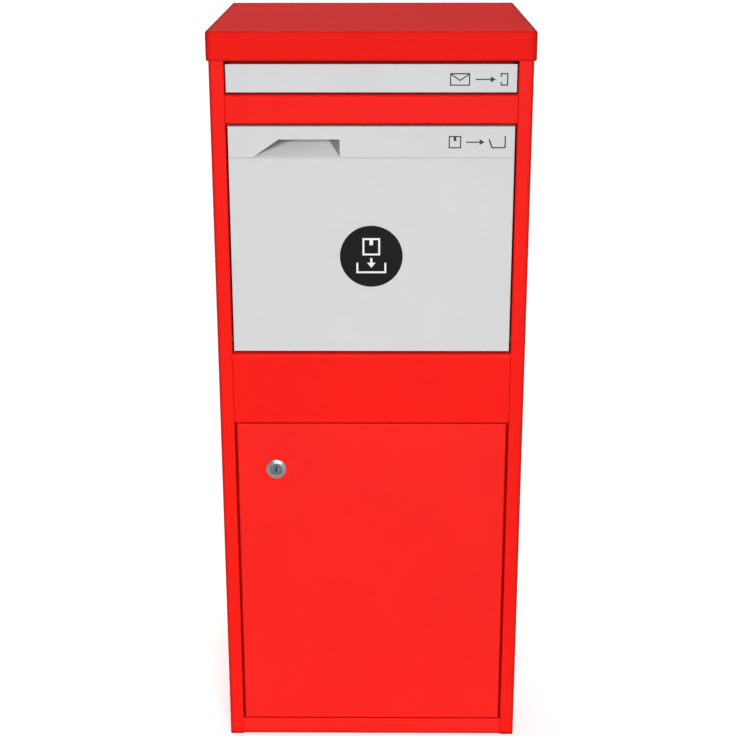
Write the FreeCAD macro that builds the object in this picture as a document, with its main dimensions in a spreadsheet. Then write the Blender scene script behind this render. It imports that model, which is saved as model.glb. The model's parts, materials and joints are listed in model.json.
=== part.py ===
import FreeCAD, Part
import math
import os
import Sketcher

# Parcel mailbox: a floor-standing sheet-steel cabinet with a letter flap at the
# top, a tilting parcel hatch below it and a locked emptying door at the bottom.
# Millimetres, +Z up.  Every piece is drawn with y = 0 on the plane of the front
# sheets (+Y goes into the cabinet) and then placed back by half the depth of the
# roof, so the origin is the middle of the footprint on the ground.

doc = FreeCAD.newDocument("parcel_mailbox")
dims = doc.addObject("Spreadsheet::Sheet", "Dims")
V = FreeCAD.Vector


class Q:
    """A number together with the sheet expression that gives it."""

    def __init__(self, val, txt):
        self.v = float(val)
        self.e = txt

    def __add__(self, o):
        o = q(o)
        return Q(self.v + o.v, "(" + self.e + " + " + o.e + ")")

    def __radd__(self, o):
        return q(o) + self

    def __sub__(self, o):
        o = q(o)
        return Q(self.v - o.v, "(" + self.e + " - " + o.e + ")")

    def __rsub__(self, o):
        return q(o) - self

    def __mul__(self, o):
        o = q(o)
        return Q(self.v * o.v, "(" + self.e + " * " + o.e + ")")

    def __rmul__(self, o):
        return q(o) * self

    def __truediv__(self, o):
        o = q(o)
        return Q(self.v / o.v, "(" + self.e + " / " + o.e + ")")

    def __neg__(self):
        return Q(-self.v, "(0 - " + self.e + ")")

    def __float__(self):
        return self.v


def q(a):
    if isinstance(a, Q):
        return a
    txt = ("%.6f" % float(a)).rstrip("0").rstrip(".")
    if txt in ("", "-", "-0"):
        txt = "0"
    return Q(float(a), "(" + txt + ")" if txt.startswith("-") else txt)


def cosq(a):
    return Q(math.cos(math.radians(a.v)), "cos(" + a.e + " * 1 deg)")


def sinq(a):
    return Q(math.sin(math.radians(a.v)), "sin(" + a.e + " * 1 deg)")


ROW = [0]


def dim(alias, val, note):
    ROW[0] += 1
    r = ROW[0]
    dims.set("A%d" % r, note)
    dims.set("B%d" % r, "%.4f" % val)
    dims.setAlias("B%d" % r, alias)
    return Q(val, "Dims." + alias)


# ---- driving dimensions -------------------------------------------------------
body_w = dim("body_w", 410.0, "cabinet width over the side sheets")
body_d = dim("body_d", 378.0, "cabinet depth over the front and back sheets")
total_h = dim("total_h", 1005.0, "height over the roof")
sheet_t = dim("sheet_t", 1.2, "sheet thickness")
bend_o = dim("bend_o", 1.6, "outer bend radius")
bend_i = dim("bend_i", 0.4, "inner bend radius")
bend_c = dim("bend_c", 5.0, "outer bend radius, upper edge of the cross panels")
bend_b = dim("bend_b", 3.0, "outer bend radius, upright corners of the cabinet")
bend_s = dim("bend_s", 2.2, "outer bend radius, inner edges of the stiles")
bend_d = dim("bend_d", 2.0, "outer bend radius, edges of the door")
bend_r = dim("bend_r", 3.0, "outer bend radius, lower edge of the bottom rail")
gap_w = dim("gap_w", 0.1, "gap between welded sheets")
open_hw = dim("open_hw", 185.6, "half width between the stiles")
jamb_d = dim("jamb_d", 18.0, "depth of the stile returns")
stop_w = dim("stop_w", 8.0, "width of the stop flange behind the door")
roof_over = dim("roof_over", 2.8, "overhang of the roof on every side")
roof_fl = dim("roof_fl", 37.6, "height of the roof flange")
roof_r = dim("roof_r", 5.0, "bend radius of the roof, front and back")
roof_s = dim("roof_s", 3.0, "bend radius of the roof, sides and upright corners")
hem_r = dim("hem_r", 2.5, "bend radius of the lower edge of the roof flange, turned in to the cabinet")
hem_t = dim("hem_t", 2.0, "thickness of that turned-in edge")
hem_c = dim("hem_c", 0.2, "clearance between that edge and the cabinet")
flap_z0 = dim("flap_z0", 927.9, "letter flap, lower edge")
flap_z1 = dim("flap_z1", 963.5, "letter flap, upper edge")
flap_hw = dim("flap_hw", 184.0, "letter flap, half width")
flap_d = dim("flap_d", 12.0, "letter flap, depth of the returns")
rod_y = dim("rod_y", 6.0, "letter flap rod, distance behind the front")
rod_z = dim("rod_z", 957.8, "letter flap rod, height")
rod_r = dim("rod_r", 2.5, "letter flap rod, radius")
run_c = dim("run_c", 0.05, "radial running clearance")
ucp_z1 = dim("ucp_z1", 925.7, "upper cross panel, upper edge")
ucp_z0 = dim("ucp_z0", 888.6, "upper cross panel, lower edge")
lip_h = dim("lip_h", 8.0, "height of the stop lips")
hat_z1 = dim("hat_z1", 885.4, "parcel hatch, upper edge")
hat_z0 = dim("hat_z0", 584.7, "parcel hatch, lower edge")
hat_hw = dim("hat_hw", 183.3, "parcel hatch, half width")
hat_d = dim("hat_d", 14.0, "parcel hatch, depth of the returns")
hat_seam = dim("hat_seam", 845.0, "height of the seam below the top strip")
seam_w = dim("seam_w", 0.15, "width of that seam")
strip_d = dim("strip_d", 15.0, "top strip, depth of the upper return")
piv_y = dim("piv_y", 7.0, "hatch pivot, distance behind the front")
piv_up = dim("piv_up", 16.0, "hatch pivot, height above the hatch's lower edge")
piv_r = dim("piv_r", 4.0, "hatch pivot pin, radius")
cheek_r = dim("cheek_r", 275.0, "hopper cheek, outer radius")
tray_a = dim("tray_a", 35.0, "slope of the hopper tray in degrees")
tray_l = dim("tray_l", 175.0, "length of the hopper tray")
tray_up = dim("tray_up", 17.0, "tray bend, height above the pivot")
lcp_z1 = dim("lcp_z1", 581.4, "lower cross panel, upper edge")
lcp_z0 = dim("lcp_z0", 482.7, "lower cross panel, lower edge")
door_z1 = dim("door_z1", 481.3, "door, upper edge")
door_z0 = dim("door_z0", 26.8, "door, lower edge")
door_hw = dim("door_hw", 182.5, "door, half width")
door_d = dim("door_d", 16.0, "door, depth of the returns")
dpin_in = dim("dpin_in", 6.0, "door pin, distance from the door's edge and face")
dpin_r = dim("dpin_r", 3.0, "door pin, radius")
rail_h = dim("rail_h", 25.2, "height of the bottom rail")
lock_x = dim("lock_x", -130.4, "lock, sideways position")
lock_z = dim("lock_z", 415.3, "lock, height")
bezel_r = dim("bezel_r", 13.6, "lock bezel, radius")
bezel_t = dim("bezel_t", 2.6, "lock bezel, thickness")
bevel_w = dim("bevel_w", 4.4, "lock bezel, width of the sloping rim")
bevel_h = dim("bevel_h", 1.5, "lock bezel, height of the sloping rim")
barrel_r = dim("barrel_r", 9.4, "lock barrel, radius")
plug_r = dim("plug_r", 6.45, "lock plug, radius")
face_r = dim("face_r", 7.6, "lock plug, radius of the face")
cam_l = dim("cam_l", 46.0, "lock cam, length from the axis")
chute_a = dim("chute_a", 22.5, "slope of the letter chute in degrees")
baffle_y = dim("baffle_y", 173.0, "baffle, distance behind the front")
baffle_z = dim("baffle_z", 662.0, "baffle, lower edge")
anchor_x = dim("anchor_x", 150.0, "ground anchor holes, half spacing sideways")
anchor_y = dim("anchor_y", 115.0, "ground anchor holes, half spacing front to back")
anchor_r = dim("anchor_r", 5.5, "ground anchor holes, radius")
wall_x = dim("wall_x", 140.0, "wall fixing holes, half spacing sideways")
wall_z0 = dim("wall_z0", 250.0, "wall fixing holes, lower height")
wall_z1 = dim("wall_z1", 800.0, "wall fixing holes, upper height")
wall_r = dim("wall_r", 4.5, "wall fixing holes, radius")
label_r = dim("label_r", 41.0, "round label on the hatch, radius")
label_z = dim("label_z", 715.0, "round label on the hatch, height")
doc.recompute()

t = sheet_t
hw = body_w / 2
y_ref = body_d / 2                      # middle of the roof, front to back
roof_in = total_h - t                   # underside of the roof
shell_h = roof_in - 0.2
piv_z = hat_z0 + piv_up
dpin_x = door_hw - dpin_in

parts = []


def body(label, x=0, y=0, z=0):
    b = doc.addObject("PartDesign::Body", label)
    b.Label = label
    if hasattr(b, "AllowCompound"):
        b.AllowCompound = True
    x, y, z = q(x), q(y) - y_ref, q(z)
    b.Placement = FreeCAD.Placement(V(x.v, y.v, z.v), FreeCAD.Rotation())
    b.setExpression("Placement.Base.x", x.e)
    b.setExpression("Placement.Base.y", y.e)
    b.setExpression("Placement.Base.z", z.e)
    parts.append(b)
    return b


def plane(b, role):
    for f in b.Origin.OriginFeatures:
        if f.Role == role:
            return f
    raise RuntimeError("no plane " + role)


def bind(sk, kind, geo, pos, val):
    """Hold one coordinate of a sketch point at a sheet value."""
    axis = -2 if kind == "DistanceX" else -1
    if abs(val.v) < 1e-9:
        sk.addConstraint(Sketcher.Constraint("PointOnObject", geo, pos, axis))
        return
    if val.v > 0:
        k = sk.addConstraint(Sketcher.Constraint(kind, -1, 1, geo, pos, val.v))
        txt = val.e
    else:
        k = sk.addConstraint(Sketcher.Constraint(kind, geo, pos, -1, 1, -val.v))
        txt = "0 - " + val.e
    name = "d%d" % k
    sk.renameConstraint(k, name)
    sk.setExpression("Constraints." + name, txt)


def poly(*pts):
    return ("poly", [(q(a), q(b)) for a, b in pts])


def rect(a0, a1, b0, b1):
    return poly((a0, b0), (a1, b0), (a1, b1), (a0, b1))


def circ(a, b, r):
    return ("circ", (q(a), q(b), q(r)))


def hexa(a, b, flats):
    a, b, flats = q(a), q(b), q(flats)
    rr = flats / math.sqrt(3.0)
    return ("poly", [(a + rr * math.cos(math.radians(60 * i)),
                      b + rr * math.sin(math.radians(60 * i))) for i in range(6)])


def draw(sk, loops):
    for kind, dat in loops:
        g0 = sk.GeometryCount
        if kind == "poly":
            n = len(dat)
            for i in range(n):
                a, b = dat[i], dat[(i + 1) % n]
                sk.addGeometry(Part.LineSegment(V(a[0].v, a[1].v, 0), V(b[0].v, b[1].v, 0)), False)
            for i in range(n):
                sk.addConstraint(Sketcher.Constraint("Coincident", g0 + i, 2, g0 + (i + 1) % n, 1))
            for i in range(n):
                bind(sk, "DistanceX", g0 + i, 1, dat[i][0])
                bind(sk, "DistanceY", g0 + i, 1, dat[i][1])
        else:
            a, b, r = dat
            sk.addGeometry(Part.Circle(V(a.v, b.v, 0), V(0, 0, 1), r.v), False)
            k = sk.addConstraint(Sketcher.Constraint("Radius", g0, r.v))
            sk.renameConstraint(k, "r%d" % k)
            sk.setExpression("Constraints.r%d" % k, r.e)
            bind(sk, "DistanceX", g0, 3, a)
            bind(sk, "DistanceY", g0, 3, b)


COUNT = [0]


def ext(b, role, loops, lo, hi, cut=False):
    """Pad or pocket closed outlines between two positions along the plane's axis."""
    lo, hi = q(lo), q(hi)
    back = role == "XZ_Plane"
    if cut:
        w = -lo if back else hi
    else:
        w = -hi if back else lo
    COUNT[0] += 1
    sk = b.newObject("Sketcher::SketchObject", "outline_%d" % COUNT[0])
    sk.AttachmentSupport = [(plane(b, role), "")]
    sk.MapMode = "FlatFace"
    sk.AttachmentOffset = FreeCAD.Placement(V(0, 0, w.v), FreeCAD.Rotation())
    sk.setExpression("AttachmentOffset.Base.z", w.e)
    draw(sk, loops)
    f = b.newObject("PartDesign::Pocket" if cut else "PartDesign::Pad",
                    ("cut_%d" if cut else "pad_%d") % COUNT[0])
    f.Profile = sk
    f.Length = (hi - lo).v
    f.setExpression("Length", (hi - lo).e)
    sk.Visibility = False
    return f


def along(axis, pts, tol=0.05):
    k = "XYZ".index(axis)
    pp = [(float(q(a)), float(q(b))) for a, b in pts]

    def hit(e):
        if e.Degenerated or not isinstance(e.Curve, Part.Line):
            return False
        d = e.Curve.Direction
        if abs(abs(d[k]) - 1.0) > 1e-6:
            return False
        c = e.CenterOfMass
        o = [c[i] for i in range(3) if i != k]
        return any(abs(o[0] - a) < tol and abs(o[1] - b) < tol for a, b in pp)
    return hit


def dress(b, pick, size, kind="PartDesign::Fillet"):
    doc.recompute()
    tip = b.Tip
    size = q(size)
    names = ["Edge%d" % (i + 1) for i, e in enumerate(tip.Shape.Edges) if pick(e)]
    if not names:
        raise RuntimeError("no edge to dress on " + b.Label)
    COUNT[0] += 1
    f = b.newObject(kind, "dress_%d" % COUNT[0])
    f.Base = (tip, names)
    prop = "Radius" if kind.endswith("Fillet") else "Size"
    setattr(f, prop, size.v)
    f.setExpression(prop, size.e)
    doc.recompute()
    return f


def ring(z_axis, pos, rad, tol=0.05):
    """Pick circular edges of one radius at one position along an axis."""
    k = "XYZ".index(z_axis)
    pos, rad = float(q(pos)), float(q(rad))

    def hit(e):
        return (not e.Degenerated and isinstance(e.Curve, Part.Circle) and abs(e.Curve.Radius - rad) < tol
                and abs(e.Curve.Center[k] - pos) < tol)
    return hit


def pan_front(b, x0, x1, z0, z1, depth, open_top=False, r_out=bend_o, r_in=bend_i):
    """A tray of sheet with its face to the front and returns to the back."""
    ext(b, "XZ_Plane", [rect(x0, x1, z0, z1)], 0, depth)
    up = q(z1) + 1 if open_top else q(z1) - t
    ext(b, "XZ_Plane", [rect(q(x0) + t, q(x1) - t, q(z0) + t, up)], t, q(depth) + 1, cut=True)
    outer = along("Z", [(x0, 0), (x1, 0)])
    low = along("X", [(0, z0)])
    high = along("X", [(0, z1)])
    if open_top:
        dress(b, lambda e: outer(e) or low(e), r_out)
    else:
        dress(b, lambda e: outer(e) or low(e) or high(e), r_out)
    inner = along("Z", [(q(x0) + t, t), (q(x1) - t, t)])
    ilow = along("X", [(t, q(z0) + t)])
    ihigh = along("X", [(t, q(z1) - t)])
    if open_top:
        dress(b, lambda e: inner(e) or ilow(e), r_in)
    else:
        dress(b, lambda e: inner(e) or ilow(e) or ihigh(e), r_in)


XY, XZ, YZ = "XY_Plane", "XZ_Plane", "YZ_Plane"
cross_hw = open_hw - gap_w

# ---- cabinet ------------------------------------------------------------------
# side and back sheet: one wrap with the front stiles and their returns folded in
b = body("body_shell")
ext(b, XY, [poly((open_hw, jamb_d), (open_hw, 0), (hw, 0), (hw, body_d),
                 (-hw, body_d), (-hw, 0), (-open_hw, 0), (-open_hw, jamb_d),
                 (-open_hw - t, jamb_d), (-open_hw - t, t), (-hw + t, t), (-hw + t, body_d - t),
                 (hw - t, body_d - t), (hw - t, t), (open_hw + t, t), (open_hw + t, jamb_d))],
    0, shell_h)
dress(b, along("Z", [(open_hw, 0), (-open_hw, 0)]), bend_s)
dress(b, along("Z", [(hw, 0), (-hw, 0), (hw, body_d), (-hw, body_d)]), bend_b)
dress(b, along("Z", [(open_hw + t, t), (-open_hw - t, t)]), bend_s - t)
dress(b, along("Z", [(hw - t, t), (-hw + t, t), (hw - t, body_d - t), (-hw + t, body_d - t)]), bend_b - t)
# stop flange behind the door, folded on from the stile returns; the left one leaves room for the keeper
stop_lo, stop_hi = rail_h + lip_h + 0.4, lcp_z0 - lip_h - 0.4
ext(b, XY, [rect(open_hw - stop_w, open_hw + t, jamb_d, jamb_d + t)], stop_lo, stop_hi)
ext(b, XY, [rect(-open_hw - t, -open_hw + stop_w, jamb_d, jamb_d + t)], stop_lo, lock_z - 46)
ext(b, XY, [rect(-open_hw - t, -open_hw + stop_w, jamb_d, jamb_d + t)], lock_z + 46, stop_hi)
for s in (-1, 1):
    lo = open_hw - 2 if s > 0 else -open_hw - t - 2
    ext(b, YZ, [circ(rod_y, rod_z, rod_r + run_c), circ(piv_y, piv_z, piv_r + run_c)],
        lo, lo + t + 4, cut=True)
ext(b, XZ, [circ(wall_x * s, zz, wall_r) for s in (-1, 1) for zz in (wall_z0, wall_z1)],
    body_d - 4, body_d + 4, cut=True)
# upper edge set down at front and back, clear of the bends of the roof
ext(b, XY, [rect(-hw - 1, hw + 1, -1, 3), rect(-hw - 1, hw + 1, body_d - 3, body_d + 1)],
    roof_in - 0.9, shell_h + 1, cut=True)

# roof: folded cap that slips over the wrap
b = body("roof_cap")
rx, rf, rb, rz = hw + roof_over, -roof_over, body_d + roof_over, total_h - roof_fl
ext(b, XY, [rect(-rx, rx, rf, rb)], rz, total_h)
ext(b, XY, [rect(-rx + t, rx - t, rf + t, rb - t)], rz + hem_t, roof_in, cut=True)
ext(b, XY, [rect(-hw - hem_c, hw + hem_c, -hem_c, body_d + hem_c)], rz - 1, rz + hem_t + 0.5, cut=True)


def side_rim(x, z_min):
    """Pick the outline of a side sheet: the uprights, the top edge and the bends between them."""
    x, z_min = float(x), float(z_min)

    def hit(e):
        bb = e.BoundBox
        return (abs(abs(bb.XMin) - x) < 0.01 and bb.XMax - bb.XMin < 0.01 and bb.ZMax > z_min + 1.0)
    return hit


dress(b, along("X", [(rf, total_h), (rb, total_h)]), roof_r)
dress(b, side_rim(rx, rz), roof_s)
dress(b, along("X", [(rf + t, roof_in), (rb - t, roof_in)]), roof_r - t)
dress(b, side_rim(rx - t, rz + hem_t), roof_s - t)
dress(b, lambda e: (along("X", [(rf, rz), (rb, rz)])(e) or along("Y", [(-rx, rz), (rx, rz)])(e)
                    or ring("Z", rz, roof_s)(e)), hem_r)

# floor pan with the ground anchor holes
b = body("base_pan")
bx, bf, bb = hw - t - 0.3, jamb_d + t + gap_w, body_d - t - 0.3
ext(b, XY, [rect(-bx, bx, bf, bb)], 0, 32)
ext(b, XY, [rect(-bx + t, bx - t, bf + t, bb - t)], t, 33, cut=True)
dress(b, lambda e: (along("X", [(bf, 0), (bb, 0)])(e) or along("Y", [(-bx, 0), (bx, 0)])(e)
                    or along("Z", [(-bx, bf), (bx, bf), (-bx, bb), (bx, bb)])(e)), bend_o)
ext(b, XY, [circ(anchor_x * i, y_ref + anchor_y * j, anchor_r) for i in (-1, 1) for j in (-1, 1)],
    -1, t + 1, cut=True)

# bottom rail below the door
b = body("bottom_rail")
lip = jamb_d + t
ext(b, YZ, [poly((0, 0), (14, 0), (14, t), (t, t), (t, rail_h - t), (lip, rail_h - t),
                 (lip, rail_h + lip_h), (jamb_d, rail_h + lip_h), (jamb_d, rail_h), (0, rail_h))],
    -cross_hw, cross_hw)
dress(b, along("X", [(0, rail_h), (lip, rail_h - t)]), bend_o)
dress(b, along("X", [(t, rail_h - t), (jamb_d, rail_h)]), bend_i)
dress(b, along("X", [(0, 0)]), bend_r)
dress(b, along("X", [(t, t)]), bend_r - t)
ext(b, XY, [circ(dpin_x, dpin_in, dpin_r + run_c)], rail_h - t - 2, rail_h + 2, cut=True)

# cross panel between hatch and door
b = body("lower_cross_panel")
ext(b, YZ, [poly((14, lcp_z1), (0, lcp_z1), (0, lcp_z0), (jamb_d, lcp_z0), (jamb_d, lcp_z0 - lip_h),
                 (lip, lcp_z0 - lip_h), (lip, lcp_z0 + t), (t, lcp_z0 + t), (t, lcp_z1 - t), (14, lcp_z1 - t))],
    -cross_hw, cross_hw)
dress(b, along("X", [(0, lcp_z0), (lip, lcp_z0 + t)]), bend_o)
dress(b, along("X", [(t, lcp_z0 + t), (jamb_d, lcp_z0)]), bend_i)
dress(b, along("X", [(0, lcp_z1)]), bend_c)
dress(b, along("X", [(t, lcp_z1 - t)]), bend_c - t)
ext(b, XY, [circ(dpin_x, dpin_in, dpin_r + run_c)], lcp_z0 - 2, lcp_z0 + t + 2, cut=True)

# cross panel between letter flap and hatch
b = body("upper_cross_panel")
ext(b, YZ, [poly((jamb_d, ucp_z1), (0, ucp_z1), (0, ucp_z0), (jamb_d, ucp_z0), (jamb_d, ucp_z0 - lip_h),
                 (lip, ucp_z0 - lip_h), (lip, ucp_z0 + t), (t, ucp_z0 + t), (t, ucp_z1 - t), (jamb_d, ucp_z1 - t))],
    -cross_hw, cross_hw)
dress(b, along("X", [(0, ucp_z0), (lip, ucp_z0 + t)]), bend_o)
dress(b, along("X", [(t, ucp_z0 + t), (jamb_d, ucp_z0)]), bend_i)
dress(b, along("X", [(0, ucp_z1)]), bend_c)
dress(b, along("X", [(t, ucp_z1 - t)]), bend_c - t)
rivet_x = [-150, -50, 50, 150]
ext(b, XY, [circ(x, 12, 2 + run_c) for x in rivet_x], ucp_z1 - t - 1, ucp_z1 + 1, cut=True)

# header above the letter slot; the lip of its channel stops the flap from swinging out
b = body("letter_header")
hy = q(2.4)
hz = rz + 0.3
ext(b, YZ, [poly((hy, hz), (hy + t, hz), (hy + t, shell_h - t), (16, shell_h - t), (16, shell_h), (hy, shell_h))],
    -cross_hw, cross_hw)
stop_z, leg_y, leg_x = flap_z1 - 2.6, q(12.3), flap_hw - 4.0
ext(b, YZ, [poly((hy, stop_z), (leg_y + t, stop_z), (leg_y + t, hz + t), (hy, hz + t), (hy, hz),
                 (leg_y, hz), (leg_y, stop_z + t), (hy, stop_z + t))], -leg_x, leg_x)

# letter chute with the hanging baffle behind the hopper: one folded sheet
b = body("letter_chute")
cc, cs = cosq(chute_a), sinq(chute_a)
ct = cs / cc
cz = ucp_z1 - t - gap_w                 # upper face of the front tab
cy = jamb_d + 2
zb = cz - (baffle_y - cy) * ct          # upper face of the chute at the baffle
dv = t / cc                             # sheet thickness measured upright
ext(b, YZ, [poly((5, cz), (cy, cz), (baffle_y + t, zb - t * ct), (baffle_y + t, baffle_z + t), (baffle_y + 12, baffle_z + t),
                 (baffle_y + 12, baffle_z), (baffle_y, baffle_z), (baffle_y, zb - dv), (cy - t * (1 - cc) / cs, cz - t), (5, cz - t))],
    -(hat_hw - 5.7), hat_hw - 5.7)
ext(b, YZ, [poly((cy, cz), (baffle_y, zb), (baffle_y, zb - dv), (cy, cz - dv))], -(hw - t - 0.2), hw - t - 0.2)
for s in (-1, 1):
    lo = hw - t - 0.2 - t if s > 0 else -(hw - t - 0.2)
    ext(b, YZ, [poly((cy, cz - dv), (baffle_y, zb - dv), (baffle_y, zb + 20), (cy, cz + 20))], lo, lo + t)
ext(b, XY, [circ(x, 12, 2 + run_c) for x in rivet_x], cz - t - 1, cz + 1, cut=True)

b = body("chute_rivets")
ext(b, XY, [circ(x, 12, 2) for x in rivet_x], cz - t - 1.4, ucp_z1 + 0.2)
ext(b, XY, [circ(x, 12, 3.8) for x in rivet_x], ucp_z1, ucp_z1 + 0.8)
ext(b, XY, [circ(x, 12, 2.8) for x in rivet_x], cz - t - 1.4, cz - t)
dress(b, ring("Z", ucp_z1 + 0.8, 3.8), 0.5)

# angles under the roof, with the studs and nuts that hold the roof down
for side, s in (("left", -1), ("right", 1)):
    b = body("roof_angle_" + side)
    xo, xi = (hw - t - gap_w) * s, (hw - t - gap_w - 20) * s
    leg = 1.5 * s
    ext(b, XZ, [poly((xo, roof_in - 20), (xo, roof_in - gap_w), (xi, roof_in - gap_w), (xi, roof_in - gap_w - 1.5),
                     (xo - leg, roof_in - gap_w - 1.5), (xo - leg, roof_in - 20))], 40, 340)
    ext(b, XY, [circ((hw - 12) * s, yy, 2.8) for yy in (80, 300)], roof_in - 4, roof_in + 1, cut=True)
studs = [((hw - 12) * s, yy) for s in (-1, 1) for yy in (80, 300)]
b = body("roof_studs")
ext(b, XY, [circ(x, y, 2.5) for x, y in studs], roof_in - 14, roof_in)
dress(b, ring("Z", roof_in - 14, 2.5), 0.5, "PartDesign::Chamfer")
b = body("roof_nuts")
ext(b, XY, [hexa(x, y, 8) for x, y in studs] + [circ(x, y, 2.5 + run_c) for x, y in studs],
    roof_in - 6.4, roof_in - 2.4)
ext(b, XY, [circ(x, y, 5.6) for x, y in studs] + [circ(x, y, 2.5 + run_c) for x, y in studs],
    roof_in - 2.4, roof_in - 1.7)

# hinge pieces fixed to the cabinet
b = body("letter_flap_rod")
ext(b, YZ, [circ(rod_y, rod_z, rod_r)], -(open_hw + t + 2.5), open_hw + t + 2.5)
dress(b, lambda e: ring("X", open_hw + t + 2.5, rod_r)(e) or ring("X", -(open_hw + t + 2.5), rod_r)(e),
      0.6, "PartDesign::Chamfer")

che_o = hat_hw - t - gap_w              # cheek, outer face
che_i = che_o - t
b = body("hatch_pivot_pins", 0, piv_y, piv_z)
for s in (-1, 1):
    for r, lo, hi in ((piv_r, che_i - 1, open_hw + t + 2), (5.2, che_i - 2.3, che_i - gap_w),
                      (5.2, open_hw + t + gap_w, open_hw + t + 2.5)):
        if s > 0:
            ext(b, YZ, [circ(0, 0, r)], lo, hi)
        else:
            ext(b, YZ, [circ(0, 0, r)], -hi, -lo)
dress(b, lambda e: ring("X", che_i - 2.3, 5.2)(e) or ring("X", -(che_i - 2.3), 5.2)(e), 1.0)
b = body("hatch_pivot_washers", 0, piv_y, piv_z)
for s in (-1, 1):
    lo, hi = hat_hw + 0.1, open_hw - 0.1
    if s < 0:
        lo, hi = -hi, -lo
    ext(b, YZ, [circ(0, 0, 6), circ(0, 0, piv_r + run_c)], lo, hi)

b = body("door_pivot_pins", dpin_x, dpin_in, 0)
ext(b, XY, [circ(0, 0, dpin_r)], door_z0 - 8, door_z0 + 8)
ext(b, XY, [circ(0, 0, 4.4)], door_z0 - 8, rail_h - t - gap_w)
ext(b, XY, [circ(0, 0, dpin_r)], door_z1 - 7, lcp_z0 + 8)
ext(b, XY, [circ(0, 0, 4.4)], lcp_z0 + t + gap_w, lcp_z0 + 8)
dress(b, lambda e: ring("Z", door_z0 + 8, dpin_r)(e) or ring("Z", door_z1 - 7, dpin_r)(e),
      0.8, "PartDesign::Chamfer")
b = body("door_pivot_washer", dpin_x, dpin_in, 0)
ext(b, XY, [circ(0, 0, 5.6), circ(0, 0, dpin_r + run_c)], rail_h + 0.1, door_z0 - 0.1)

# keeper behind the left stile for the lock cam, and the rubber stops
b = body("lock_keeper")
kx, ky = -(open_hw + t + gap_w), jamb_d + 0.2
ext(b, XY, [poly((kx, 4), (kx, ky), (-158, ky), (-158, ky + 1.5), (kx - 1.5, ky + 1.5), (kx - 1.5, 4))],
    lock_z - 45, lock_z + 45)
dress(b, along("Z", [(kx - 1.5, ky + 1.5)]), 2.0)
b = body("door_buffers")
ext(b, XZ, [circ(-180, lock_z + 30, 4.5), circ(-180, lock_z - 30, 4.5)], door_d + 0.3, jamb_d + 0.1)
ext(b, XZ, [circ(-90, lcp_z0 - 4, 3.5), circ(90, lcp_z0 - 4, 3.5)], door_d + 0.3, jamb_d - 0.1)
b = body("hatch_buffers")
ext(b, XZ, [circ(-120, hat_z1 - 1.8, 3.5), circ(120, hat_z1 - 1.8, 3.5)], strip_d + 0.3, jamb_d - 0.1)

# ---- letter flap --------------------------------------------------------------
b = body("letter_flap")
pan_front(b, -flap_hw, flap_hw, flap_z0, flap_z1, flap_d, open_top=True)
ext(b, YZ, [poly((flap_d - 5, flap_z1 + 1), (flap_d + 1, flap_z1 + 1), (flap_d + 1, flap_z1 - 6))],
    -flap_hw - 1, flap_hw + 1, cut=True)
for s in (-1, 1):
    lo = flap_hw - t - 1 if s > 0 else -flap_hw - 1
    ext(b, YZ, [circ(rod_y, rod_z, rod_r + run_c)], lo, lo + t + 2, cut=True)

# ---- parcel hatch -------------------------------------------------------------
b = body("hatch_panel")
pan_front(b, -hat_hw, hat_hw, hat_z0, hat_seam, hat_d)
for s in (-1, 1):
    x0, x1 = che_i - 0.3, che_o + 0.08
    if s < 0:
        x0, x1 = -x1, -x0
    ext(b, XY, [rect(x0, x1, t + 0.1, hat_d + 1)], hat_seam - t - 1, hat_seam + 1, cut=True)
    lo = hat_hw - t - 1 if s > 0 else -hat_hw - 1
    ext(b, YZ, [circ(piv_y, piv_z, piv_r + run_c)], lo, lo + t + 2, cut=True)

# strip above the seam, with the slanted notch of the grip
b = body("hatch_top_strip")
sz = hat_seam + seam_w
notch = [(-152.5, sz - 1), (-40.3, sz - 1), (-40.3, 868.5), (-118.5, 868.5), (-152.5, sz)]
ext(b, XZ, [rect(-hat_hw, hat_hw, sz, hat_z1)], 0, strip_d)
ext(b, XZ, [rect(-hat_hw + t, hat_hw - t, sz - 1, hat_z1 - t)], t, strip_d + 1, cut=True)
dress(b, lambda e: along("Z", [(-hat_hw, 0), (hat_hw, 0)])(e) or along("X", [(0, hat_z1)])(e), bend_o)
dress(b, lambda e: along("Z", [(-hat_hw + t, t), (hat_hw - t, t)])(e) or along("X", [(t, hat_z1 - t)])(e), bend_i)
ext(b, XZ, [poly(*notch)], -1, t + 1, cut=True)


# grip pocket behind the notch: a pressed cup with a sloping tongue
def solid_of(faces):
    fs = [Part.Face(Part.makePolygon([V(*p) for p in f] + [V(*f[0])])) for f in faces]
    s = Part.makeSolid(Part.makeShell(fs))
    s.fix(1e-6, 1e-6, 1e-6)
    return s


def cup(xl, xm, xr, xj, xk, yf, yk, zl, zm, zt):
    a, b2 = (xl, yf, zl), (xr, yf, zl)
    c, d, e = (xr, yf, zt), (xm, yf, zt), (xm, yf, zm)
    k0, k1, k2 = (xm, yk, zm), (xj, yk, zm), (xk, yk, zm)
    k3, k4 = (xk, yk, zt), (xm, yk, zt)
    return solid_of([[a, b2, c, d, e], [a, k1, k2, b2], [a, e, k1], [e, k0, k1], [e, d, k4, k0],
                     [b2, k2, k3, c], [d, c, k3, k4], [k0, k4, k3, k2, k1]])


p = doc.addObject("Part::Feature", "grip_pocket")
p.Label = "grip_pocket"
tt = float(sheet_t)
z_s = float(hat_seam)
inner = cup(-152.8, -118.7, -40.1, -98.8, -55.6, tt + 0.1, 30.0, z_s + 1.0, 868.6, 876.0)
outer = cup(-156.1, -122.15, -38.95, -101.5, -55.05, tt + 0.1, 31.1, z_s + 0.1, 867.6, 877.1)
p.Shape = outer.cut(inner)
p.Placement = FreeCAD.Placement(V(0, -float(y_ref), 0), FreeCAD.Rotation())
parts.append(p)

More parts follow.
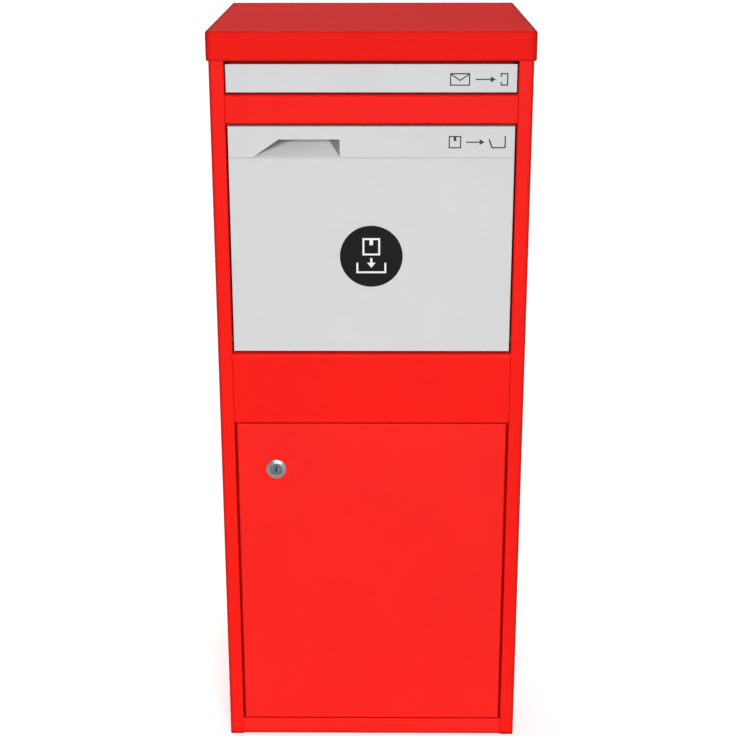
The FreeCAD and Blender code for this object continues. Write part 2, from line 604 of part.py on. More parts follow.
# hopper behind the hatch: tray and two cheeks, drawn about the pivot
b = body("hopper_tray", 0, piv_y, piv_z)
ca, sa = cosq(tray_a), sinq(tray_a)
ty = t + gap_w - piv_y                  # back face of the hatch sheet
thw = che_i - gap_w
m = t * (1 - sa) / ca                   # mitre of the front bend
ey, ez = ty + tray_l * ca, tray_up - tray_l * sa
ext(b, YZ, [poly((ty, tray_up - t / ca + t * sa / ca), (ty, tray_up + 24), (ty + t, tray_up + 24),
                 (ty + t, tray_up - t * sa / ca + 0 * m),
                 (ey, ez), (ey - 12 * sa, ez - 12 * ca), (ey - 12 * sa - t * ca, ez - 12 * ca + t * sa),
                 (ey - t * sa - t * ca, ez - t * ca + t * sa))],
    -thw, thw)
for s in (-1, 1):
    lo = thw - t if s > 0 else -thw
    ext(b, YZ, [poly((ty + 34 * ca, tray_up - 34 * sa), (ty + 160 * ca, tray_up - 160 * sa),
                     (ty + 160 * ca - 13 * sa, tray_up - 160 * sa - 13 * ca),
                     (ty + 34 * ca - 13 * sa, tray_up - 34 * sa - 13 * ca))], lo, lo + t)
riv = [(ty + k * ca - 7.5 * sa, tray_up - k * sa - 7.5 * ca) for k in (44, 97, 150)]
for s in (-1, 1):
    lo = thw - t - 0.5 if s > 0 else -thw - 0.5
    ext(b, YZ, [circ(u, w, 2 + run_c) for u, w in riv], lo, lo + t + 1, cut=True)

open_a = 55.0
ca_o, sa_o = math.cos(math.radians(open_a)), math.sin(math.radians(open_a))
st_y, st_z = 11.0 + 5.0 + 0.3, 190.0    # stop stud about the pivot when the hatch is open
stop = (st_y * ca_o + st_z * sa_o, -st_y * sa_o + st_z * ca_o)
for side, s in (("left", -1), ("right", 1)):
    b = body("hopper_cheek_" + side, 0, piv_y, piv_z)
    lo, hi = (che_i, che_o) if s > 0 else (-che_o, -che_i)
    cf = t + 0.2 - piv_y
    far = 400.0
    ext(b, YZ, [poly((cf, -11), (6, -12), (148, -98), (233, 150), (far * 0.7, far * 0.9), (cf, far * 0.9))], lo, hi)
    ext(b, YZ, [circ(0, 0, cheek_r), circ(0, 0, 900)], q(lo) - 1, q(hi) + 1, cut=True)
    ext(b, YZ, [circ(0, 0, piv_r + run_c), circ(stop[0], stop[1], 3 + run_c)]
        + [circ(u, w, 2 + run_c) for u, w in riv], q(lo) - 1, q(hi) + 1, cut=True)

b = body("tray_rivets", 0, piv_y, piv_z)
for s in (-1, 1):
    for r, lo, hi in ((2, thw - t - 1.2, che_o + 0.5), (3.8, che_o, che_o + 1.0), (2.8, thw - t - 1.2, thw - t)):
        if s < 0:
            lo, hi = -hi, -lo
        ext(b, YZ, [circ(u, w, r) for u, w in riv], lo, hi)
b = body("hatch_stop_studs", 0, piv_y, piv_z)
for s in (-1, 1):
    for r, lo, hi in ((3, che_i - 1.5, open_hw + 7), (5.5, che_i - 1.5, che_i), (5.5, open_hw + 5.5, open_hw + 7)):
        if s < 0:
            lo, hi = -hi, -lo
        ext(b, YZ, [circ(stop[0], stop[1], r)], lo, hi)
b = body("hatch_stop_sleeves", 0, piv_y, piv_z)
for s in (-1, 1):
    lo, hi = che_o + 0.1, open_hw + 5.4
    if s < 0:
        lo, hi = -hi, -lo
    ext(b, YZ, [circ(stop[0], stop[1], 5), circ(stop[0], stop[1], 3 + run_c)], lo, hi)

b = body("hatch_label")
ext(b, XZ, [circ(0, label_z, label_r)], -0.3, 0)

# ---- door ---------------------------------------------------------------------
b = body("door_panel")
pan_front(b, -door_hw, door_hw, door_z0, door_z1, door_d, r_out=bend_d, r_in=bend_d - t)
ext(b, XZ, [circ(lock_x, lock_z, barrel_r + 0.3)], -1, t + 1, cut=True)
for lo in (door_z0 - 1, door_z1 - t - 1):
    ext(b, XY, [circ(dpin_x, dpin_in, dpin_r + run_c)], lo, lo + t + 2, cut=True)

b = body("door_stiffener")
gy = t + gap_w
ext(b, XY, [poly((-38, gy), (-18, gy), (-18, gy + 11), (18, gy + 11), (18, gy), (38, gy), (38, gy + t),
                 (18 + t, gy + t), (18 + t, gy + 11 + t), (-18 - t, gy + 11 + t), (-18 - t, gy + t), (-38, gy + t))],
    door_z0 + 20, door_z1 - 20)

b = body("lock_housing", lock_x, 0, lock_z)
ext(b, XZ, [circ(0, 0, barrel_r)], -0.5, 19.8)
ext(b, XZ, [circ(0, 0, bezel_r)], -bezel_t, -gap_w)
ext(b, XZ, [circ(0, 0, plug_r + run_c)], -5, 25, cut=True)
ext(b, XZ, [circ(0, 0, face_r + run_c)], -5, 4.6, cut=True)
for s in (-1, 1):
    lo, hi = (8.2, 12) if s > 0 else (-12, -8.2)
    ext(b, XZ, [rect(lo, hi, -12, 12)], 6.5, 25, cut=True)
f = dress(b, ring("Y", -bezel_t, bezel_r), bevel_h, "PartDesign::Chamfer")
f.ChamferType = "Two distances"
f.Size2 = bevel_w.v
f.setExpression("Size2", bevel_w.e)
doc.recompute()
dress(b, ring("Y", -bezel_t, face_r + run_c), 0.6, "PartDesign::Chamfer")
b = body("lock_nut", lock_x, 0, lock_z)
ext(b, XZ, [hexa(0, 0, 24), circ(0, 0, barrel_r + run_c)], t + 0.1, 5.4)

# ---- lock plug ----------------------------------------------------------------
b = body("lock_plug", lock_x, 0, lock_z)
ext(b, XZ, [circ(0, 0, face_r)], -1.6, 4.5)
ext(b, XZ, [circ(0, 0, plug_r)], 4, 19.9)
ext(b, XZ, [rect(-3.5, 3.5, -3.5, 3.5)], 19, 22.4)
ext(b, XZ, [rect(-0.9, 0.9, -4.4, 3.6)], -3, 8, cut=True)
ext(b, XZ, [circ(0, 0, 2 + run_c)], 12, 24, cut=True)
dress(b, ring("Y", -1.6, face_r), 0.4)
b = body("lock_cam", lock_x, 0, lock_z)
ext(b, XZ, [rect(-8, 8, -cam_l, 9), rect(-3.6, 3.6, -3.6, 3.6)], 21.0, 22.6)
dress(b, along("Y", [(-8, -cam_l), (8, -cam_l), (-8, 9), (8, 9)]), 5.0)
b = body("cam_screw", lock_x, 0, lock_z)
ext(b, XZ, [circ(0, 0, 2)], 13, 23.5)
ext(b, XZ, [circ(0, 0, 5.8)], 22.7, 23.7)
ext(b, XZ, [hexa(0, 0, 7)], 23.5, 26.4)

# ---- checks and files ---------------------------------------------------------
doc.recompute()
bad = [o.Label for o in doc.Objects if any(w in ("Invalid", "Error") for w in o.State)]
for o in parts:
    s = o.Shape
    if s.isNull() or not s.isValid() or not s.Solids or s.Volume <= 0:
        bad.append(o.Label)
if bad:
    raise RuntimeError("not sound: " + ", ".join(sorted(set(bad))))
os.makedirs("parts", exist_ok=True)
for o in parts:
    o.Shape.exportStep("parts/" + o.Label + ".step")
    bx = o.Shape.BoundBox
    print("%-22s solids %d  x %.2f %.2f  y %.2f %.2f  z %.2f %.2f  vol %.0f" % (
        o.Label, len(o.Shape.Solids), bx.XMin, bx.XMax, bx.YMin, bx.YMax, bx.ZMin, bx.ZMax, o.Shape.Volume))
print("parts", len(parts))
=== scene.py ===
import json
import math

import bmesh
import bpy
from mathutils import Matrix, Vector


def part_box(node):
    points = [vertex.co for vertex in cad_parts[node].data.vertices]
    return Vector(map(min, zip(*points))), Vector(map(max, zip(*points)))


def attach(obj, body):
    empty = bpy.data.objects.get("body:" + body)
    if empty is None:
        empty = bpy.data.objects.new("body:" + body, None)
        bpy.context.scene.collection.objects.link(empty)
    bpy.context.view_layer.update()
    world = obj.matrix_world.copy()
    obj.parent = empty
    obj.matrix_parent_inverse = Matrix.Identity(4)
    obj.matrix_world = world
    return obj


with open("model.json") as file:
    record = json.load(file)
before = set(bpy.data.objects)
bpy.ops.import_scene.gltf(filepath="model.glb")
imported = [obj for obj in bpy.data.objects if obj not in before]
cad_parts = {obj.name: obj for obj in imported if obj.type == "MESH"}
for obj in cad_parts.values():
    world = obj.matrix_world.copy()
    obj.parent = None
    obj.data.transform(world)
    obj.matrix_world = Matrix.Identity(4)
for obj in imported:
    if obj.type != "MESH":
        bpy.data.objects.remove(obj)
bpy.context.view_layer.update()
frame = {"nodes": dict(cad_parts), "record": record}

nodes = frame["nodes"]
scene = bpy.context.scene
MM = 0.001
FRONT = -0.189          # plane of the front sheets, row frame


# ---------------------------------------------------------------- materials
class Mat:
    """One node material, built socket by socket."""

    def __init__(self, name):
        self.m = bpy.data.materials.new(name)
        self.m.use_nodes = True
        self.t = self.m.node_tree
        self.t.nodes.clear()
        self.out = self.t.nodes.new("ShaderNodeOutputMaterial")
        self.b = self.t.nodes.new("ShaderNodeBsdfPrincipled")
        self.t.links.new(self.b.outputs["BSDF"], self.out.inputs["Surface"])
        self.co = self.t.nodes.new("ShaderNodeTexCoord").outputs["Object"]

    def set(self, **kw):
        for k, v in kw.items():
            self.b.inputs[k.replace("_", " ")].default_value = v
        return self

    def link(self, a, b):
        self.t.links.new(a, b)

    def noise(self, scale, detail=2.0, rough=0.5, stretch=None, distortion=0.0):
        n = self.t.nodes.new("ShaderNodeTexNoise")
        n.inputs["Scale"].default_value = scale
        n.inputs["Detail"].default_value = detail
        n.inputs["Roughness"].default_value = rough
        n.inputs["Distortion"].default_value = distortion
        co = self.co
        if stretch:
            mp = self.t.nodes.new("ShaderNodeMapping")
            mp.inputs["Scale"].default_value = stretch
            self.link(co, mp.inputs["Vector"])
            co = mp.outputs["Vector"]
        self.link(co, n.inputs["Vector"])
        return n.outputs["Fac"]

    def cells(self, scale, out="Color"):
        v = self.t.nodes.new("ShaderNodeTexVoronoi")
        v.inputs["Scale"].default_value = scale
        self.link(self.co, v.inputs["Vector"])
        return v.outputs[out]

    def ramp(self, fac, stops):
        r = self.t.nodes.new("ShaderNodeValToRGB")
        e = r.color_ramp.elements
        while len(e) < len(stops):
            e.new(0.5)
        for el, (p, c) in zip(e, stops):
            el.position = p
            el.color = (*c, 1.0) if len(c) == 3 else c
        self.link(fac, r.inputs["Fac"])
        return r.outputs["Color"]

    def span(self, fac, lo, hi, a=0.3, b=0.7):
        r = self.t.nodes.new("ShaderNodeMapRange")
        r.inputs["From Min"].default_value = a
        r.inputs["From Max"].default_value = b
        r.inputs["To Min"].default_value = lo
        r.inputs["To Max"].default_value = hi
        self.link(fac, r.inputs["Value"])
        return r.outputs["Result"]

    def mix(self, a, b, fac, mode="MIX"):
        x = self.t.nodes.new("ShaderNodeMix")
        x.data_type = "RGBA"
        x.blend_type = mode
        x.inputs["Factor"].default_value = fac if isinstance(fac, float) else 0.5
        if not isinstance(fac, float):
            self.link(fac, x.inputs["Factor"])
        self.link(a, x.inputs[6])
        self.link(b, x.inputs[7])
        return x.outputs[2]

    def bump(self, height, strength, distance, prev=None):
        n = self.t.nodes.new("ShaderNodeBump")
        n.inputs["Strength"].default_value = strength
        n.inputs["Distance"].default_value = distance
        self.link(height, n.inputs["Height"])
        if prev is not None:
            self.link(prev, n.inputs["Normal"])
        return n.outputs["Normal"]

    def calc(self, op, a, b):
        n = self.t.nodes.new("ShaderNodeMath")
        n.operation = op
        for i, v in enumerate((a, b)):
            if isinstance(v, float):
                n.inputs[i].default_value = v
            else:
                self.link(v, n.inputs[i])
        return n.outputs["Value"]

    def xyz(self):
        n = self.t.nodes.new("ShaderNodeSeparateXYZ")
        self.link(self.co, n.inputs["Vector"])
        return n.outputs["X"], n.outputs["Y"], n.outputs["Z"]

    def to(self, socket, out):
        self.link(out, self.b.inputs[socket])
        return self


def powder(name, dark, light, speck, rough, spec, painted_shading=None):
    """Powder coat: cloudy colour, fine grain, orange peel; the optional last argument gives factors of painted shade
    that vary over the piece.
    """
    m = Mat(name)
    cloud = m.noise(7.0, 3.0, 0.55)
    grain = m.noise(2600.0, 1.0, 0.5)
    peel = m.noise(620.0, 2.0, 0.45)
    tone = m.ramp(cloud, [(0.30, dark), (0.70, light)])
    tint = m.ramp(grain, [(0.25, (1.0 - speck,) * 3), (0.75, (1.0, 1.0, 1.0))])
    coat = m.mix(tone, tint, 1.0, "MULTIPLY")
    if painted_shading:
        for part in painted_shading(m):
            coat = m.mix(coat, part, 1.0, "MULTIPLY")
    m.to("Base Color", coat)
    m.to("Roughness", m.span(peel, rough[0], rough[1]))
    m.to("Normal", m.bump(peel, 0.10, 0.0004))
    m.set(IOR=1.5, Specular_IOR_Level=spec)
    return m.m


RED = ((0.800, 0.0058, 0.0018), (0.838, 0.0068, 0.0022), 0.05, (0.40, 0.50), 0.12)
red = powder("red_powder_coat", *RED)


def painted_edge_shade(half, front, wide, least, low, foot_shade, top=None):
    """Painted shade: darker on the outer bends beside the front and the top, and along the lower edge."""
    def painted_shading(m):
        x, y, z = m.xyz()
        bend_shade = m.span(m.calc("ABSOLUTE", x, 0.0), 1.0, least, half - wide, half - 0.0008)
        rest = m.span(y, 0.0, 1.0, front + 0.0028, front + 0.0055)
        if top:
            rest = m.calc("MINIMUM", rest, m.span(z, 1.0, 0.0, top - 0.0055, top - 0.0028))
        edge = m.span(z, foot_shade[0], 1.0, low + 0.0002, low + foot_shade[1])
        return m.calc("MAXIMUM", bend_shade, rest), edge
    return painted_shading


# the body shell: painted shade on its outer bends beside the front and along its lower edge
red_wrap_painted_shade = powder("red_powder_wrap_painted_shade", *RED, painted_shading=painted_edge_shade(0.205, -0.189, 0.0052, 0.60, 0.0, (0.40, 0.0062)))
SHEEN = (*RED[:3], (0.46, 0.56), 0.20)          # a stronger but softer sheen, for the door and the rail
red_door = powder("red_powder_door", *SHEEN)
# the rail: the same painted shade on its outer bends beside the front and along its lower edge
red_rail_painted_shade = powder("red_powder_rail_painted_shade", *SHEEN, painted_shading=painted_edge_shade(0.205, -0.189, 0.0052, 0.60, 0.0, (0.40, 0.0062)))
# the roof: a darker copy of the red, painted shade over the whole lid, rougher, with painted shade on its outer bends
# and along its lower edge
red_roof_painted_shade = powder("red_powder_roof_painted_shade", (0.745, 0.0054, 0.0017), (0.780, 0.0063, 0.0021), 0.05, (0.56, 0.66), 0.09, painted_shading=painted_edge_shade(0.2078, -0.1918, 0.0078, 0.54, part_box("roof_cap")[0].z, (0.62, 0.0030), 1.005))
# a darker copy of the red for the header: painted shade, as only its edge in the gap over the flap is in sight
red_header_painted_shade = powder("red_powder_header_painted_shade", (0.300, 0.0042, 0.0020), (0.340, 0.0048, 0.0022), *RED[2:])
GREY = ((0.580, 0.584, 0.583), (0.602, 0.606, 0.605), 0.06, (0.34, 0.44), 0.30)
grey = powder("grey_powder_coat", *GREY)


def painted_pocket_shade(m):
    """Painted shade: darker on the two side walls of the grip pocket, and a little darker towards the lower end of its
    tongue.
    """
    x, y, z = m.xyz()
    left = m.calc("DIVIDE", m.calc("ADD", x, 0.1528), m.calc("MAXIMUM", m.calc("SUBTRACT", z, 0.8455), 0.0008))
    right = m.calc("DIVIDE", m.calc("SUBTRACT", -0.0401, x), m.calc("MAXIMUM", m.calc("ADD", y, 0.1877), 0.0004))
    return (m.ramp(m.span(left, 0.0, 1.0, 1.5, 3.5), [(0.0, (0.19,) * 3), (0.20, (0.21,) * 3), (0.30, (0.28,) * 3), (0.40, (0.39,) * 3), (0.50, (0.52,) * 3), (0.60, (0.68,) * 3), (0.70, (0.83,) * 3), (0.80, (0.94,) * 3), (0.92, (1.0,) * 3)]),
            m.ramp(m.span(right, 0.0, 1.0, 0.50, 0.80), [(0.16, (0.37,) * 3), (0.30, (0.41,) * 3), (0.80, (1.0,) * 3)]),
            m.span(z, 0.90, 1.0, 0.8462, 0.8525))


# the grip pocket: a lighter copy of the grey, painted light on its tongue, with painted shade on its side walls and at
# the lower end of its tongue
pocket_grey_painted_light_and_shade = powder("grey_powder_pocket_painted_light_and_shade", (0.720, 0.724, 0.723), (0.742, 0.746, 0.745), *GREY[2:], painted_shading=painted_pocket_shade)


def zinc():
    m = Mat("bright_zinc")
    sp = m.cells(420.0)
    fine = m.noise(1500.0, 2.0, 0.6)
    tone = m.ramp(sp, [(0.0, (0.50, 0.52, 0.55)), (1.0, (0.66, 0.67, 0.69))])
    haze = m.ramp(fine, [(0.3, (0.90, 0.90, 0.90)), (0.7, (1.0, 1.0, 1.0))])
    m.to("Base Color", m.mix(tone, haze, 1.0, "MULTIPLY"))
    m.to("Roughness", m.span(fine, 0.28, 0.42))
    m.to("Normal", m.bump(fine, 0.05, 0.0002))
    m.set(Metallic=1.0)
    return m.m


def polished(name, dark, light, rough, painted_shading=None):
    """Plated metal with faint smears; the optional last argument gives factors of painted shade that vary over the
    piece.
    """
    m = Mat(name)
    smear = m.noise(320.0, 3.0, 0.6, stretch=(1.0, 1.0, 0.4))
    coat = m.ramp(smear, [(0.3, dark), (0.7, light)])
    if painted_shading:
        for part in painted_shading(m):
            coat = m.mix(coat, part, 1.0, "MULTIPLY")
    m.to("Base Color", coat)
    m.to("Roughness", m.span(smear, rough[0], rough[1]))
    m.set(Metallic=1.0)
    return m.m


def rubber():
    m = Mat("black_rubber")
    g = m.noise(900.0, 3.0, 0.6)
    m.to("Base Color", m.ramp(g, [(0.3, (0.018, 0.018, 0.019)), (0.7, (0.032, 0.032, 0.033))]))
    m.to("Roughness", m.span(g, 0.68, 0.85))
    m.to("Normal", m.bump(g, 0.12, 0.0003))
    m.set(Specular_IOR_Level=0.4)
    return m.m


def nylon():
    m = Mat("black_nylon")
    g = m.noise(260.0, 3.0, 0.6)
    m.to("Base Color", m.ramp(g, [(0.3, (0.012, 0.012, 0.013)), (0.7, (0.020, 0.020, 0.021))]))
    m.to("Roughness", m.span(g, 0.50, 0.65))
    m.set(Specular_IOR_Level=0.25)
    return m.m


def black_steel():
    m = Mat("black_oxide_steel")
    g = m.noise(500.0, 3.0, 0.6)
    m.to("Base Color", m.ramp(g, [(0.3, (0.026, 0.025, 0.024)), (0.7, (0.050, 0.048, 0.046))]))
    m.to("Roughness", m.span(g, 0.34, 0.50))
    m.set(Metallic=0.8)
    return m.m


def film(name, dark, light, rough, spec):
    m = Mat(name)
    g = m.noise(700.0, 3.0, 0.55)
    m.to("Base Color", m.ramp(g, [(0.3, dark), (0.7, light)]))
    m.to("Roughness", m.span(g, rough[0], rough[1]))
    m.set(Specular_IOR_Level=spec)
    return m.m


mats = {
    "red_powder": red,
    "grey_powder": grey,
    "zinc_steel": zinc(),
    "black_steel": black_steel(),
    "lock_chrome": polished("polished_chrome", (0.27, 0.285, 0.290), (0.34, 0.355, 0.360), (0.34, 0.44)),
    "black_rubber": rubber(),
    "nylon": nylon(),
    "label_film": film("black_label_film", (0.0040, 0.0040, 0.0042), (0.0062, 0.0062, 0.0064), (0.38, 0.48), 0.12),
}
plug_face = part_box("lock_plug")[0].y


def painted_keyway_shade(m):
    """Painted shade: the keyway is darkened inside, deeper than 0.3 mm behind the face of the plug."""
    return (m.span(m.xyz()[1], 1.0, 0.05, plug_face + 0.0003, plug_face + 0.0010),)


# the plug, with painted shade in its keyway
plug_metal = polished("dark_nickel", (0.135, 0.165, 0.180), (0.195, 0.225, 0.242), (0.24, 0.36), painted_shading=painted_keyway_shade)
ink = film("dark_print_ink", (0.030, 0.030, 0.032), (0.045, 0.045, 0.047), (0.45, 0.60), 0.2)
white_ink = film("white_print_ink", (0.72, 0.72, 0.72), (0.80, 0.80, 0.80), (0.40, 0.55), 0.25)

own = {"lock_plug": plug_metal, "grip_pocket": pocket_grey_painted_light_and_shade, "body_shell": red_wrap_painted_shade, "bottom_rail": red_rail_painted_shade,
       "door_panel": red_door, "roof_cap": red_roof_painted_shade, "letter_header": red_header_painted_shade}
for row in frame["record"]["subparts"]:
    o = nodes[row["node"]]
    o.data.materials.clear()
    o.data.materials.append(own.get(row["node"], mats[row["material_slot"]]))


# ---------------------------------------------------------------- flat prints
def inset(points, dist):
    """The polygon with every edge moved inwards by its own distance (counter-clockwise points)."""
    n = len(points)
    lines = []
    for i in range(n):
        a, b = Vector(points[i]), Vector(points[(i + 1) % n])
        d = (b - a).normalized()
        nrm = Vector((-d.y, d.x))
        lines.append((a + nrm * dist[i], d))
    out = []
    for i in range(n):
        p, u = lines[i - 1]
        q, v = lines[i]
        den = u.x * v.y - u.y * v.x
        t = ((q.x - p.x) * v.y - (q.y - p.y) * v.x) / den
        out.append(tuple(p + u * t))
    return out


def rect(x0, z0, x1, z1):
    return [(x0, z0), (x1, z0), (x1, z1), (x0, z1)]


def print_piece(name, loops, y, thick, material, body):
    """A flat print on a front sheet: closed loops in x,z (mm), inner loops are openings."""
    cu = bpy.data.curves.new(name + "_outline", "CURVE")
    cu.dimensions = "2D"
    cu.fill_mode = "BOTH"
    cu.extrude = thick / 2
    for loop in loops:
        s = cu.splines.new("POLY")
        s.points.add(len(loop) - 1)
        for p, (x, z) in zip(s.points, loop):
            p.co = (x * MM, z * MM, 0.0, 1.0)
        s.use_cyclic_u = True
    tmp = bpy.data.objects.new(name + "_tmp", cu)
    scene.collection.objects.link(tmp)
    me = bpy.data.meshes.new_from_object(tmp.evaluated_get(bpy.context.evaluated_depsgraph_get()))
    bpy.data.objects.remove(tmp)
    me.transform(Matrix.Rotation(math.radians(90), 4, "X"))     # drawing plane x,y -> x,z
    me.transform(Matrix.Translation((0.0, y, 0.0)))
    bm = bmesh.new()
    bm.from_mesh(me)
    bmesh.ops.remove_doubles(bm, verts=bm.verts, dist=1e-7)
    bmesh.ops.recalc_face_normals(bm, faces=bm.faces)
    bm.to_mesh(me)
    bm.free()
    me.name = name
    me.materials.clear()
    me.materials.append(material)
    o = bpy.data.objects.new(name, me)
    scene.collection.objects.link(o)
    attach(o, body)
    return o


def envelope(x0, z0, x1, z1, s):
    xm, zm = (x0 + x1) / 2, z0 + 0.42 * (z1 - z0)
    a, b, c, d = (x0 + s, z0 + s), (x1 - s, z0 + s), (x1 - s, z1 - s), (x0 + s, z1 - s)
    top = inset([(xm, zm), c, d], [s / 2, 0.0, s / 2])
    low = inset([a, b, c, (xm, zm), d], [0.0, 0.0, s / 2, s / 2, 0.0])
    return [rect(x0, z0, x1, z1), top, low]


def arrow(x0, x1, z, shaft, head, length):
    return [[(x0, z - shaft / 2), (x1 - length, z - shaft / 2), (x1 - length, z - head / 2), (x1, z),
             (x1 - length, z + head / 2), (x1 - length, z + shaft / 2), (x0, z + shaft / 2)]]


def parcel(x0, z0, x1, z1, s, tape, drop):
    """A square parcel seen from the front: outline and a strip of tape over the upper edge."""
    xm = (x0 + x1) / 2
    hole = [(x0 + s, z0 + s), (x1 - s, z0 + s), (x1 - s, z1 - s), (xm + tape / 2, z1 - s),
            (xm + tape / 2, z1 - drop), (xm - tape / 2, z1 - drop), (xm - tape / 2, z1 - s), (x0 + s, z1 - s)]
    return [rect(x0, z0, x1, z1), hole]


STROKE = 1.5
TH = 0.00010
y_print = FRONT - TH / 2 - 0.00002

# pictogram: an envelope, an arrow and a slot
slot_mark = [[(163.0, 936.6), (172.6, 936.6), (172.6, 952.4), (163.0, 952.4), (163.0, 947.6), (164.6, 947.6), (164.6, 950.9),
              (171.0, 950.9), (171.0, 938.1), (164.6, 938.1), (164.6, 941.4), (163.0, 941.4)]]
print_piece("flap_letter_mark", envelope(99.4, 936.6, 124.6, 952.4, STROKE) + arrow(131.5, 157.0, 944.5, STROKE, 7.6, 6.4) + slot_mark,
            y_print, TH, ink, "letter_flap")
# pictogram: a taped box, an arrow and a tilting tray
tray_mark = [[(153.6, 857.2), (171.6, 857.2), (171.6, 873.0), (170.0, 873.0), (170.0, 858.8), (155.0, 858.8), (150.9, 869.0), (149.4, 868.4)]]
print_piece("strip_parcel_mark", parcel(98.8, 857.2, 114.8, 873.0, STROKE, 3.4, 6.6) + arrow(121.0, 144.6, 865.1, STROKE, 7.6, 6.4) + tray_mark,
            y_print, TH, ink, "parcel_hatch")

# round label: a taped box, an arrow and an open tray
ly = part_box("hatch_label")[0].y
cz = 715.0
label = parcel(-11.5, cz + 1.5, 11.5, cz + 24.5, 2.4, 4.6, 9.4)
label += [[(-1.4, cz - 2.2), (-1.4, cz - 8.4), (-5.6, cz - 8.4), (0.0, cz - 15.2), (5.6, cz - 8.4), (1.4, cz - 8.4), (1.4, cz - 2.2)]]
label += [[(-19.5, cz - 8.5), (-19.5, cz - 22.5), (19.5, cz - 22.5), (19.5, cz - 8.5), (17.1, cz - 8.5), (17.1, cz - 20.1), (-17.1, cz - 20.1), (-17.1, cz - 8.5)]]
print_piece("label_print", label, ly - TH / 2 - 0.00002, TH, white_ink, "parcel_hatch")


# ---------------------------------------------------------------- studio
def stage_floor():
    """A wide pale sheet with a faint paper grain."""
    bm = bmesh.new()
    rings = [0.0, 0.4, 0.8, 1.5, 3.0, 6.0, 12.0, 24.0]
    seg = 64
    prev = None
    for r in rings:
        if r == 0.0:
            prev = [bm.verts.new((0.0, 0.0, 0.0))]
            continue
        cur = [bm.verts.new((r * math.cos(2 * math.pi * k / seg), r * math.sin(2 * math.pi * k / seg), 0.0)) for k in range(seg)]
        for k in range(seg):
            n = (k + 1) % seg
            if len(prev) == 1:
                bm.faces.new((prev[0], cur[k], cur[n]))
            else:
                bm.faces.new((prev[k], cur[k], cur[n], prev[n]))
        prev = cur
    me = bpy.data.meshes.new("studio_floor")
    bm.to_mesh(me)
    bm.free()
    m = Mat("studio_floor_white")
    g = m.noise(3.0, 3.0, 0.5)
    tone = m.ramp(g, [(0.3, (0.90, 0.90, 0.90)), (0.7, (0.915, 0.915, 0.915))])
    m.to("Base Color", tone)
    m.set(Roughness=0.9, Specular_IOR_Level=0.0)
    # the sheet is lit from below, as on a light table, apart from the middle before the box
    x, y, z = m.xyz()
    far = m.span(y, 0.0, 1.0, -8.0, 7.5)
    side = m.span(m.calc("ABSOLUTE", x, 0.0), 0.0, 0.5, 0.9, 1.9)
    m.b.inputs["Emission Color"].default_value = (1.0, 1.0, 1.0, 1.0)
    glow = m.ramp(far, [(0.0, (0.50,) * 3), (0.226, (0.50,) * 3), (0.335, (0.0,) * 3), (0.484, (0.0,) * 3),
                        (0.510, (0.43,) * 3), (0.582, (0.48,) * 3), (0.773, (0.60,) * 3), (1.0, (0.62,) * 3)])
    m.to("Emission Strength", m.calc("MAXIMUM", glow, side))
    me.materials.append(m.m)
    o = bpy.data.objects.new("studio_floor", me)
    scene.collection.objects.link(o)


stage_floor()


def softbox(name, loc, target, size, power, spread=180.0, color=(1.0, 1.0, 1.0)):
    li = bpy.data.lights.new(name, "AREA")
    li.shape = "RECTANGLE"
    li.spread = math.radians(spread)
    li.size, li.size_y = size
    li.energy = power
    li.color = color
    o = bpy.data.objects.new(name, li)
    o.location = loc
    o.rotation_mode = "QUATERNION"
    o.rotation_quaternion = (Vector(target) - Vector(loc)).to_track_quat("-Z", "Y")
    scene.collection.objects.link(o)
    return o


softbox("key_box", (0.30, -3.20, 1.56), (-0.25, -0.19, 0.12), (1.3, 0.9), 15.0, spread=80.0)
softbox("back_box", (-0.2, 2.2, 3.5), (0.0, 0.10, 0.60), (1.8, 1.8), 8.8, spread=90.0)

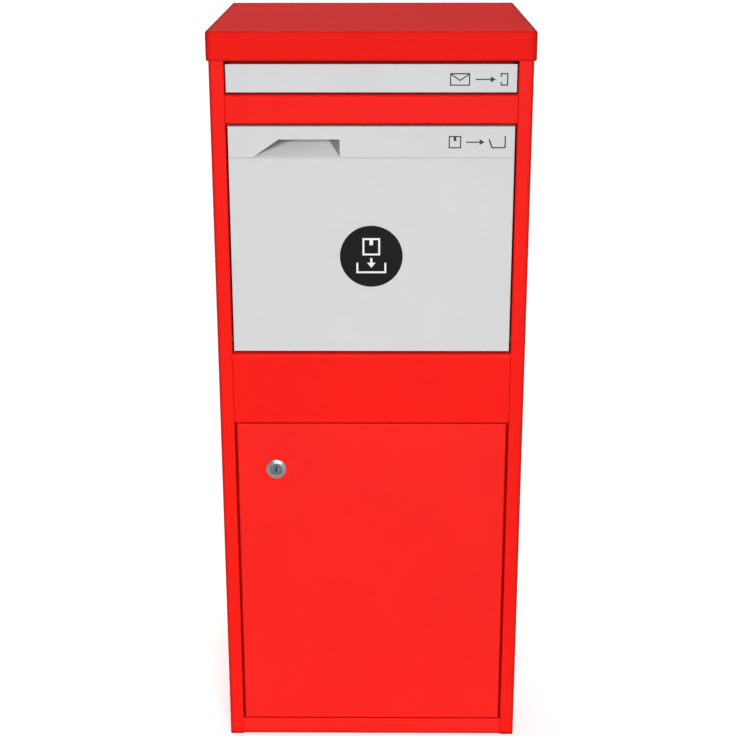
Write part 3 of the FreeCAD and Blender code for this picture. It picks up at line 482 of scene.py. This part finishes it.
world = bpy.data.worlds.new("studio")
scene.world = world
world.use_nodes = True
wt = world.node_tree
wt.nodes.clear()
w_out = wt.nodes.new("ShaderNodeOutputWorld")
w_bg = wt.nodes.new("ShaderNodeBackground")
w_co = wt.nodes.new("ShaderNodeTexCoord")
w_sep = wt.nodes.new("ShaderNodeSeparateXYZ")
w_ramp = wt.nodes.new("ShaderNodeValToRGB")
wt.links.new(w_co.outputs["Generated"], w_sep.inputs["Vector"])
wt.links.new(w_sep.outputs["Z"], w_ramp.inputs["Fac"])
# the light of the room comes from the ramp, and the wall behind the floor is plain and pale
w_ray = wt.nodes.new("ShaderNodeLightPath")
w_wall = wt.nodes.new("ShaderNodeMix")
w_wall.data_type = "RGBA"
w_wall.inputs[7].default_value = (0.93, 0.93, 0.93, 1.0)
wt.links.new(w_ray.outputs["Is Camera Ray"], w_wall.inputs["Factor"])
wt.links.new(w_ramp.outputs["Color"], w_wall.inputs[6])
wt.links.new(w_wall.outputs[2], w_bg.inputs["Color"])
wt.links.new(w_bg.outputs["Background"], w_out.inputs["Surface"])
el = w_ramp.color_ramp.elements
el[0].position, el[0].color = 0.0, (0.80, 0.80, 0.80, 1.0)
el[1].position, el[1].color = 0.03, (0.11, 0.11, 0.112, 1.0)
for pos, v in ((0.45, 0.13), (0.80, 0.70), (1.0, 0.78)):
    w_ramp.color_ramp.elements.new(pos).color = (v, v, v * 1.01, 1.0)
w_bg.inputs["Strength"].default_value = 1.0

# ---------------------------------------------------------------- camera
cam_data = bpy.data.cameras.new("camera")
cam = bpy.data.objects.new("camera", cam_data)
scene.collection.objects.link(cam)
pitch, yaw, roll = math.radians(18.5575), math.radians(-0.50510), math.radians(-0.09350)
fwd = Vector((math.sin(yaw) * math.cos(pitch), math.cos(yaw) * math.cos(pitch), -math.sin(pitch)))
right = Vector((math.cos(yaw), -math.sin(yaw), 0.0))
up = right.cross(fwd)
r2 = math.cos(roll) * right + math.sin(roll) * up
u2 = -math.sin(roll) * right + math.cos(roll) * up
cam.matrix_world = Matrix(((r2.x, u2.x, -fwd.x, 0.012616), (r2.y, u2.y, -fwd.y, -2.137587), (r2.z, u2.z, -fwd.z, 1.215326), (0, 0, 0, 1)))
cam_data.sensor_width = 36.0
cam_data.lens = 75.09
cam_data.clip_start, cam_data.clip_end = 0.05, 100.0
scene.camera = cam

scene.view_settings.view_transform = "Standard"
scene.view_settings.look = "None"
